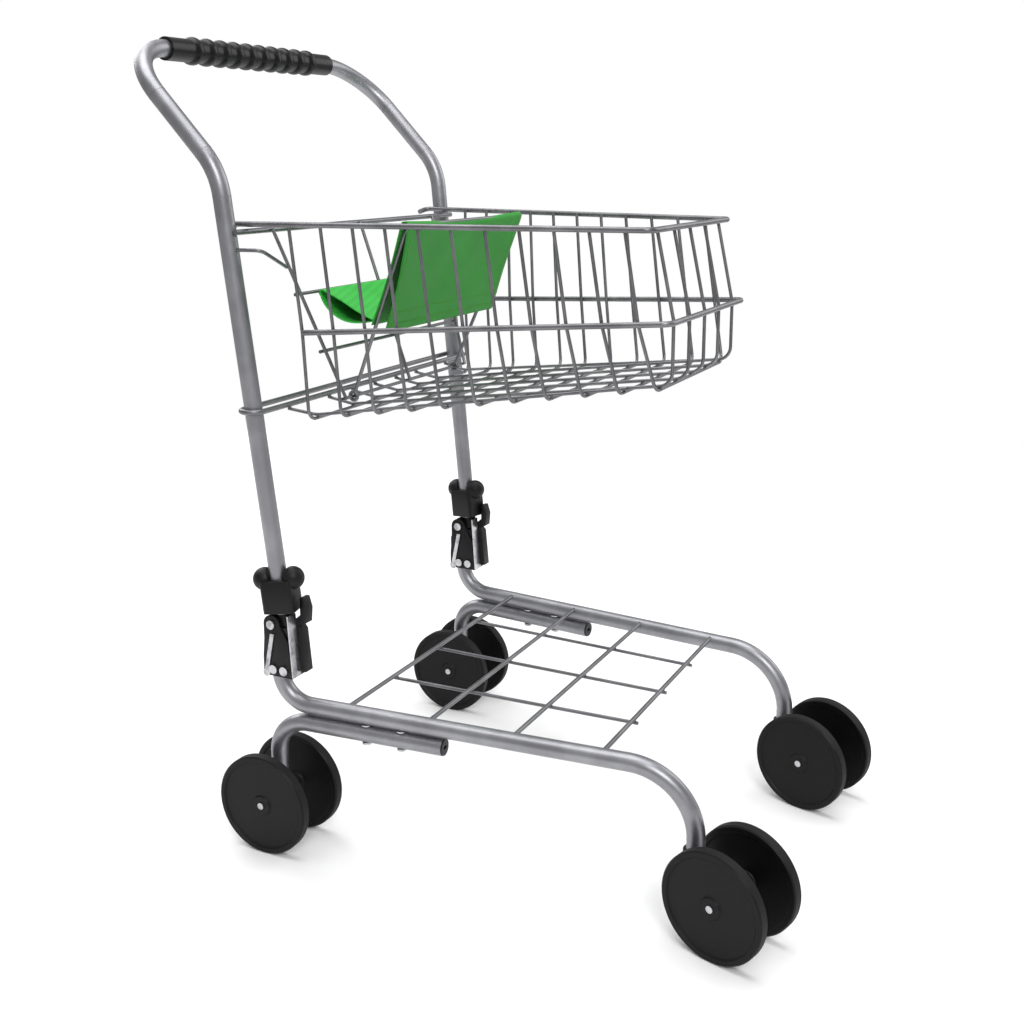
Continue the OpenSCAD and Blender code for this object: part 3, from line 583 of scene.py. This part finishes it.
@dataclass
class WeldBeads:
    """Small weld beads where wires of different nodes cross."""

    name: str
    body: str
    pairs: list[tuple[str, str]]
    radius: float = 1.15 * MM
    reach: float = 0.35 * MM
    spacing: float = 7 * MM
    shortest_edge: float = 4 * MM

    def loose_parts(self, node: str) -> list[tuple[list[Vector], list[tuple[int, ...]]]]:
        """The separate wires of a CAD node, as vertex and face lists, grown by the reach."""
        mesh = bmesh.new()
        mesh.from_mesh(frame["nodes"][node].data)
        bmesh.ops.remove_doubles(mesh, verts=mesh.verts, dist=1e-6)
        mesh.verts.ensure_lookup_table()
        mesh.normal_update()
        seen: set[int] = set()
        parts = []
        for start in mesh.verts:
            if start.index in seen:
                continue
            seen.add(start.index)
            stack, island = [start], []
            while stack:
                vertex = stack.pop()
                island.append(vertex)
                for edge in vertex.link_edges:
                    other = edge.other_vert(vertex)
                    if other.index not in seen:
                        seen.add(other.index)
                        stack.append(other)
            order = {v.index: i for i, v in enumerate(island)}
            faces = {f for v in island for f in v.link_faces}
            corners = [tuple(order[v.index] for v in f.verts) for f in sorted(faces, key=lambda f: f.index)]
            parts.append(([v.co + v.normal * self.reach for v in island], corners))
        mesh.free()
        return parts

    def long_edges(self, points: list[Vector], face: tuple[int, ...]) -> list[tuple[Vector, Vector]]:
        """The edges of a face that run along the wire."""
        ends = [(points[a], points[b]) for a, b in zip(face, face[1:] + face[:1])]
        return [(a, b) for a, b in ends if (a - b).length > self.shortest_edge]

    def crossings(self, first: str, second: str) -> list[Vector]:
        """Places where wires of the two nodes pass within the reach of each other."""
        places: list[Vector] = []
        parts_b = self.loose_parts(second)
        trees_b = [BVHTree.FromPolygons(points, faces) for points, faces in parts_b]
        for points_a, faces_a in self.loose_parts(first):
            tree_a = BVHTree.FromPolygons(points_a, faces_a)
            for (points_b, faces_b), tree_b in zip(parts_b, trees_b):
                found: list[list[Vector]] = []
                for ia, ib in tree_a.overlap(tree_b):
                    for a in self.long_edges(points_a, faces_a[ia]):
                        for b in self.long_edges(points_b, faces_b[ib]):
                            close = intersect_line_line(*a, *b)
                            if close is None or (close[0] - close[1]).length > 2 * self.radius:
                                continue
                            middle = (close[0] + close[1]) / 2
                            for group in found:
                                if (group[0] - middle).length < self.spacing:
                                    group.append(middle)
                                    break
                            else:
                                found.append([middle])
                places += [sum(group, Vector()) / len(group) for group in found]
        return places

    def build(self, material: bpy.types.Material) -> Optional[bpy.types.Object]:
        """Makes all the beads as one piece on their body.

        Args:
            material: the beads' finish.

        Returns:
            The piece, or None where nothing crosses.
        """
        places: list[Vector] = []
        for first, second in self.pairs:
            for place in self.crossings(first, second):
                if all((place - other).length > self.spacing / 2 for other in places):
                    places.append(place)
        if not places:
            return None
        deselect()
        bpy.ops.mesh.primitive_ico_sphere_add(subdivisions=2, radius=self.radius)
        seed = bpy.context.object
        beads = []
        for index, place in enumerate(places):
            bead = seed.copy()
            bead.data = seed.data.copy()
            bpy.context.scene.collection.objects.link(bead)
            bead.location = place
            bead.rotation_euler = (index * 0.7, index * 1.3, index * 2.1)
            bead.scale = (1.15, 1.0, 0.85)
            beads.append(bead)
        bpy.data.objects.remove(seed)
        piece = joined(beads, self.name)
        settle(piece)
        smooth(piece, 60)
        dress(piece, material)
        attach(piece, self.body)
        LOG.info("%s: %d beads", self.name, len(places))
        return piece


# ---- Moulded parts ---------------------------------------------------------------------------


@dataclass
class RoundedCopy:
    """A CAD node whose sharp edges are rounded, as a moulding's are."""

    node: str
    body: str
    width: float = 0.7 * MM
    segments: int = 2
    angle: float = 35.0

    def build(self, material: bpy.types.Material, slot: str) -> bpy.types.Object:
        """Makes the rounded piece and puts it in the node's place."""
        obj = node_copy(self.node, f"{self.node}_moulding")
        bevel = obj.modifiers.new("round", "BEVEL")
        bevel.width = self.width
        bevel.segments = self.segments
        bevel.limit_method = "ANGLE"
        bevel.angle_limit = math.radians(self.angle)
        bevel.use_clamp_overlap = True
        apply_modifiers(obj)
        smooth(obj, 40)
        dress(obj, material)
        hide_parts(self.node)
        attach(obj, self.body)
        return obj


# ---- Child seat ------------------------------------------------------------------------------


@dataclass
class ChildSeat:
    """The cloth of the child seat: a pocket over the wire back, and a doubled seat cloth."""

    cloth_t: float = 0.8 * MM
    pocket_depth: float = 10 * MM
    rear_gap: float = 1.8 * MM
    side_over: float = 2.5 * MM
    hem_rise: float = 3 * MM
    stitch_pitch: float = 2.6 * MM
    sag: float = 5 * MM
    faces_across: int = 72
    faces_along: int = 96
    frame_wire: float = 1.4 * MM
    bar_bend: float = 3.0 * MM
    fold_radius: float = 2.2 * MM
    fold_ends: tuple[float, float] = (0.48, 0.54)
    bar_span: tuple[float, float] = (0.485, 0.515)
    stitch_radius: float = 0.22 * MM

    def __post_init__(self) -> None:
        """Reads the back's lean and width from the CAD cover."""
        low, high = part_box("seat_cover")
        frame_low, frame_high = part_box("seat_frame")
        bar = self.frame_wire
        self.top_bar = Vector((0, frame_low[1] + bar, frame_high[2] - bar))
        self.foot = Vector((0, frame_high[1] - 3 * bar, frame_low[2] + 3 * bar))
        self.rise = (self.top_bar - self.foot).normalized()
        self.out = Vector((1, 0, 0)).cross(self.rise).normalized()
        self.half_top = high[0] - 1.5 * MM
        lean = (low[2] - self.foot.z) / (self.top_bar.z - self.foot.z)
        self.hem = self.foot.lerp(self.top_bar, lean)
        self.half_low = mix(self.half_top * 0.9, self.half_top, lean) - 1 * MM

    def pocket_profile(self, share: float) -> tuple[float, float, float]:
        """One point of the pocket's outline, seen from the side.

        Args:
            share: 0 at the front panel's hem, 1 at the rear panel's hem.

        Returns:
            Distance up the back, distance forward of it, and share of the height.
        """
        height = (self.top_bar - self.hem).length
        bend = self.bar_bend
        front_end, rear_start = self.bar_span
        if share < front_end:
            up = share / front_end
            return up * height, mix(self.pocket_depth, bend, up**1.2), up
        if share > rear_start:
            up = 1 - (share - rear_start) / (1 - rear_start)
            return up * height, -mix(self.rear_gap, bend, up**2), up
        turn = (share - front_end) / (rear_start - front_end) * math.pi
        return height + bend * math.sin(turn), bend * math.cos(turn), 1.0

    def pocket_point(self, across: float, share: float) -> Vector:
        """Place of the pocket's cloth at a share across and a share along its outline."""
        rise, forward, up = self.pocket_profile(share)
        half = mix(self.half_low, self.half_top, up) + self.side_over
        pull = 2.2 * MM * bulge(up) * (2 * across - 1)
        x = (2 * across - 1) * half - pull
        front = share < 0.5
        fold = math.sin(9 * across + 5 * up) * 0.9 + math.sin(21 * across - 8 * up) * 0.35
        hollow = -2.6 * MM * bulge(across) * bulge(up) if front else 0.8 * MM * bulge(across) * bulge(up)
        wave = (0.55 * MM if front else 0.25 * MM) * fold * bulge(up) * (0.4 + bulge(across))
        droop = 2.6 * MM * bulge(across) * max(0.0, up - 0.7) / 0.3
        centre = self.hem + self.rise * (rise - droop) + self.out * (forward + hollow + wave)
        return centre + Vector((x, 0, 0))

    def cloth_piece(
        self, name: str, point: Callable[[float, float], Vector], size: tuple[float, float]
    ) -> bpy.types.Object:
        """A cloth piece with thickness, from a function of its place."""
        obj = grid_piece(name, self.faces_across, self.faces_along, point, size)
        wall = obj.modifiers.new("wall", "SOLIDIFY")
        wall.thickness = self.cloth_t
        wall.offset = 0.0
        apply_modifiers(obj)
        make_active(obj)
        bpy.ops.object.shade_smooth()
        return obj

    def outline_length(self, point: Callable[[float, float], Vector], steps: int = 200) -> float:
        """Length of the cloth down its middle."""
        places = [point(0.5, i / steps) for i in range(steps + 1)]
        return sum((b - a).length for a, b in zip(places, places[1:]))

    def seat_point(self, across: float, share: float) -> Vector:
        """Place of the doubled seat cloth: the upper layer first, then the fold and the lower layer."""
        low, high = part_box("seat_sheet")
        rear = Vector((0, high[1] + 1 * MM, high[2]))
        front = Vector((0, low[1] + 1.5 * MM, low[2] + 2 * MM))
        length = (front - rear).length
        d = (front - rear).normalized()
        up = d.cross(Vector((1, 0, 0))).normalized()
        up = up if up.z > 0 else -up
        upper_end, lower_start = self.fold_ends
        if share < upper_end:
            run = 1 - share / upper_end
            lift = -self.sag * 0.5 * bulge(run) * bulge(across)
        elif share < lower_start:
            turn = (share - upper_end) / (lower_start - upper_end) * math.pi
            run = -self.fold_radius * math.sin(turn) / length
            lift = -self.fold_radius * (1 - math.cos(turn))
        else:
            run = (share - lower_start) / (1 - lower_start)
            lift = -2 * self.fold_radius - self.sag * 1.7 * bulge(run**0.8) + 4.0 * MM * run**3
        half = mix(self.half_low - 1 * MM, self.half_low - 4 * MM, run)
        wave = 0.5 * MM * math.sin(11 * across + 6 * run) * bulge(run)
        return rear + d * (run * length) + up * (lift + wave) + Vector(((2 * across - 1) * half, 0, 0))

    def stitches(
        self, name: str, body: str, lines: Iterable[Sequence[Vector]], outward: Vector
    ) -> bpy.types.Object:
        """Rows of short stitches along lines on the cloth.

        Args:
            name: the piece's name.
            body: the body that it rides on; not used.
            lines: the rows, each as a list of places.
            outward: direction in which the stitches stand proud.

        Returns:
            The joined stitches.
        """
        pieces = []
        for line in lines:
            spare = 0.0
            for a, b in zip(line, line[1:]):
                span = (b - a).length
                while spare < span:
                    place = a.lerp(b, spare / span)
                    deselect()
                    bpy.ops.mesh.primitive_cylinder_add(
                        vertices=6,
                        radius=self.stitch_radius,
                        depth=self.stitch_pitch * 0.62,
                        location=place + outward,
                    )
                    stitch = bpy.context.object
                    stitch.rotation_mode = "QUATERNION"
                    stitch.rotation_quaternion = (b - a).to_track_quat("Z", "Y")
                    pieces.append(stitch)
                    spare += self.stitch_pitch
                spare -= span
        piece = joined(pieces, name)
        settle(piece)
        dress(piece, Thread("sewing_thread", "backrest_cloth").make())
        return piece

    def build(self) -> None:
        """Makes the pocket with its stitching, and the seat cloth."""
        back = Cloth(
            "backrest_cloth", "backrest_cloth", light=(0.010, 0.27, 0.012), dark=(0.004, 0.15, 0.006)
        )
        seat = Cloth(
            "seat_cloth", "seat_cloth", light=(0.022, 0.50, 0.045), dark=(0.010, 0.30, 0.02), dimples=1.0
        )
        length = self.outline_length(self.pocket_point)
        width = self.half_low + self.half_top + 2 * self.side_over
        pocket = self.cloth_piece("backrest_pocket", self.pocket_point, (width, length))
        dress(pocket, back.make())
        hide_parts("seat_cover")
        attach(pocket, "seat_back")
        outward = self.out * (self.cloth_t / 2 + 0.1 * MM)
        inset, steps = 0.03, 40
        hem_rows, side_rows, side_top = (0.035, 0.09), (inset, 1 - inset), 0.44
        rows = [[self.pocket_point(i / steps, row) for i in range(steps + 1)] for row in hem_rows]
        for edge in side_rows:
            rows.append([self.pocket_point(edge, side_top * i / steps) for i in range(steps + 1)])
        hem = self.stitches("backrest_stitches", "seat_back", rows, outward)
        hem.parent = pocket
        length = self.outline_length(self.seat_point)
        width = 2 * self.half_low - 5 * MM
        sling = self.cloth_piece("seat_sling", self.seat_point, (width, length))
        dress(sling, seat.make())
        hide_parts("seat_sheet")
        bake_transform(sling)
        LOG.info("child seat: pocket and sling")


# ---- Dressing --------------------------------------------------------------------------------


@dataclass
class Dressing:
    """Gives every CAD node its finish, and rounds the edges of the mouldings."""

    tube: bpy.types.Material = field(default_factory=lambda: SilverPaint("tube_paint", "tube_silver").make())
    wire: bpy.types.Material = field(
        default_factory=lambda: SilverPaint(
            "wire_paint", "wire_silver", light=(0.24, 0.24, 0.25), dark=(0.15, 0.15, 0.16)
        ).make()
    )
    steel: bpy.types.Material = field(
        default_factory=lambda: BrightSteel("zinc_steel", "bright_steel").make()
    )
    black: bpy.types.Material = field(
        default_factory=lambda: MouldedPlastic("lock_plastic", "black_plastic").make()
    )
    grip: bpy.types.Material = field(
        default_factory=lambda: MouldedPlastic(
            "grip_plastic", "grip_plastic", roughness=0.3, grain_depth=0.00002
        ).make()
    )
    mouldings: tuple[str, ...] = ("lock_sleeve", "lock_plates", "caster_fork")

    def material(self, slot: str) -> bpy.types.Material:
        """The finish of a material slot of the record."""
        return {
            "tube_silver": self.tube,
            "wire_silver": self.wire,
            "bright_steel": self.steel,
            "black_plastic": self.black,
            "grip_plastic": self.grip,
        }.get(slot, self.black)

    def wheel(self, node: str) -> bpy.types.Material:
        """The finish of a twin wheel, centred on its own axle."""
        low, high = (Vector(c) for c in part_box(node))
        centre = (low + high) / 2
        name = node.replace("_wheels_", "_spin_").replace("rear_", "rear_wheel_")
        axes = {j["name"]: j["axis"] for j in frame["joints"]}
        axle = axes.get(name, (1.0, 0.0, 0.0))
        return WheelPlastic(f"{node}_plastic", "wheel_plastic", tuple(centre), tuple(axle)).make()

    def build(self) -> None:
        """Dresses every node."""
        slots = {s["node"]: s["material_slot"] for s in frame["record"]["subparts"]}
        for node, obj in frame["nodes"].items():
            slot = slots[node]
            material = self.wheel(node) if slot == "wheel_plastic" else self.material(slot)
            obj.data.materials.clear()
            obj.data.materials.append(material)
        for stem in self.mouldings:
            for side in Side:
                node = f"{stem}_{side.word}"
                body = frame["nodes"][node]["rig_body"]
                RoundedCopy(node, body).build(self.black, "black_plastic")
        LOG.info("dressed %d nodes", len(frame["nodes"]))


# ---- Studio ----------------------------------------------------------------------------------


@dataclass
class Studio:
    """Pale floor, soft lights and the camera."""

    camera_at: Vector = field(default_factory=lambda: Vector((-0.834, -0.4173, 0.507)))
    azimuth: float = -63.65
    elevation: float = 12.4
    lens: float = 44.26
    shift: tuple[float, float] = (-0.0166, -0.079)
    floor_radius: float = 1.5

    def light(self, name: str, at: Sequence[float], size: float, power: float, aim: Sequence[float]) -> None:
        """One square area light that faces a point."""
        data = bpy.data.lights.new(name, "AREA")
        data.size = size
        data.energy = power
        lamp = bpy.data.objects.new(name, data)
        bpy.context.scene.collection.objects.link(lamp)
        lamp.location = at
        lamp.rotation_euler = (Vector(aim) - Vector(at)).to_track_quat("-Z", "Y").to_euler()

    def camera(self) -> None:
        """The main camera. Azimuth 0 looks along +Y, and elevation looks down."""
        data = bpy.data.cameras.new("camera")
        data.sensor_width = 36.0
        data.lens = self.lens
        data.shift_x, data.shift_y = self.shift
        data.clip_end = 50.0
        camera = bpy.data.objects.new("camera", data)
        bpy.context.scene.collection.objects.link(camera)
        camera.location = self.camera_at
        camera.rotation_euler = (math.radians(90 - self.elevation), 0.0, math.radians(self.azimuth))
        bpy.context.scene.camera = camera

    def floor(self) -> None:
        """A pale floor under the wheels."""
        deselect()
        bpy.ops.mesh.primitive_circle_add(
            vertices=128, radius=self.floor_radius, fill_type="NGON", location=(0, 0, CAD_BOX[0][2])
        )
        floor = bpy.context.object
        floor.name = "studio_floor"
        shade = Shade("pale_floor")
        clouds = shade.noise(shade.place(), 3.0, 3.0)
        floor.data.materials.append(
            shade.finish(
                Base_Color=shade.blend(clouds, (0.86, 0.86, 0.86), (0.89, 0.89, 0.89)),
                Roughness=0.6 + clouds * 0.1,
            )
        )

    def world(self) -> None:
        """An even pale surround, a little dimmer for reflections than for the eye."""
        world = bpy.data.worlds.new("studio")
        bpy.context.scene.world = world
        world.use_nodes = True
        tree = world.node_tree
        tree.nodes.clear()
        out = tree.nodes.new("ShaderNodeOutputWorld")
        join = tree.nodes.new("ShaderNodeMixShader")
        path = tree.nodes.new("ShaderNodeLightPath")
        seen = tree.nodes.new("ShaderNodeBackground")
        lit = tree.nodes.new("ShaderNodeBackground")
        seen.inputs["Color"].default_value = (1, 1, 1, 1)
        lit.inputs["Color"].default_value = (1, 1, 1, 1)
        lit.inputs["Strength"].default_value = 0.42
        tree.links.new(path.outputs["Is Camera Ray"], join.inputs[0])
        tree.links.new(lit.outputs[0], join.inputs[1])
        tree.links.new(seen.outputs[0], join.inputs[2])
        tree.links.new(join.outputs[0], out.inputs["Surface"])

    def build(self) -> None:
        """Sets up the floor, the surround, the lights and the camera."""
        self.camera()
        self.floor()
        self.world()
        middle = (0.0, 0.0, 0.3)
        self.light("key", (-1.8, -1.4, 2.0), 0.9, 36, middle)
        self.light("fill", (1.9, -1.2, 1.4), 1.6, 16, middle)
        self.light("top", (0.0, 0.3, 2.8), 2.4, 62, middle)
        self.light("back", (0.8, 2.0, 1.6), 1.4, 22, middle)
        scene = bpy.context.scene
        scene.view_settings.view_transform = "Standard"


@dataclass
class Trolley:
    """The whole trolley: its dressing, its welds and its child seat."""

    basket_pairs: tuple[tuple[str, str], ...] = (
        ("basket_side_wires_right", "basket_top_rim"),
        ("basket_side_wires_left", "basket_top_rim"),
        ("basket_side_wires_right", "basket_waist_rim"),
        ("basket_side_wires_left", "basket_waist_rim"),
        ("basket_long_wires", "basket_top_rim"),
        ("basket_long_wires", "basket_waist_rim"),
        ("basket_long_wires", "basket_floor_wires"),
        ("basket_long_wires", "basket_loop"),
        ("basket_edge_wires", "basket_floor_wires"),
        ("basket_edge_wires", "basket_loop"),
        ("gate_uprights", "gate_cross_wires"),
        ("gate_uprights", "basket_rod"),
        ("gate_uprights", "gate_hooks"),
    )
    rack_pairs: tuple[tuple[str, str], ...] = (("rack_cross_wires", "rack_long_wires"),)

    def build(self) -> None:
        """Builds everything in order."""
        dressing = Dressing()
        dressing.build()
        WeldBeads("basket_welds", "upper_frame", list(self.basket_pairs)).build(dressing.wire)
        WeldBeads("rack_welds", "base", list(self.rack_pairs), radius=1.5 * MM).build(dressing.wire)
        ChildSeat().build()


def main() -> None:
    """Builds the studio and the trolley."""
    logging.basicConfig(level=logging.INFO, format="%(name)s: %(message)s")
    Studio().build()
    Trolley().build()


if __name__ == "__main__":
    main()
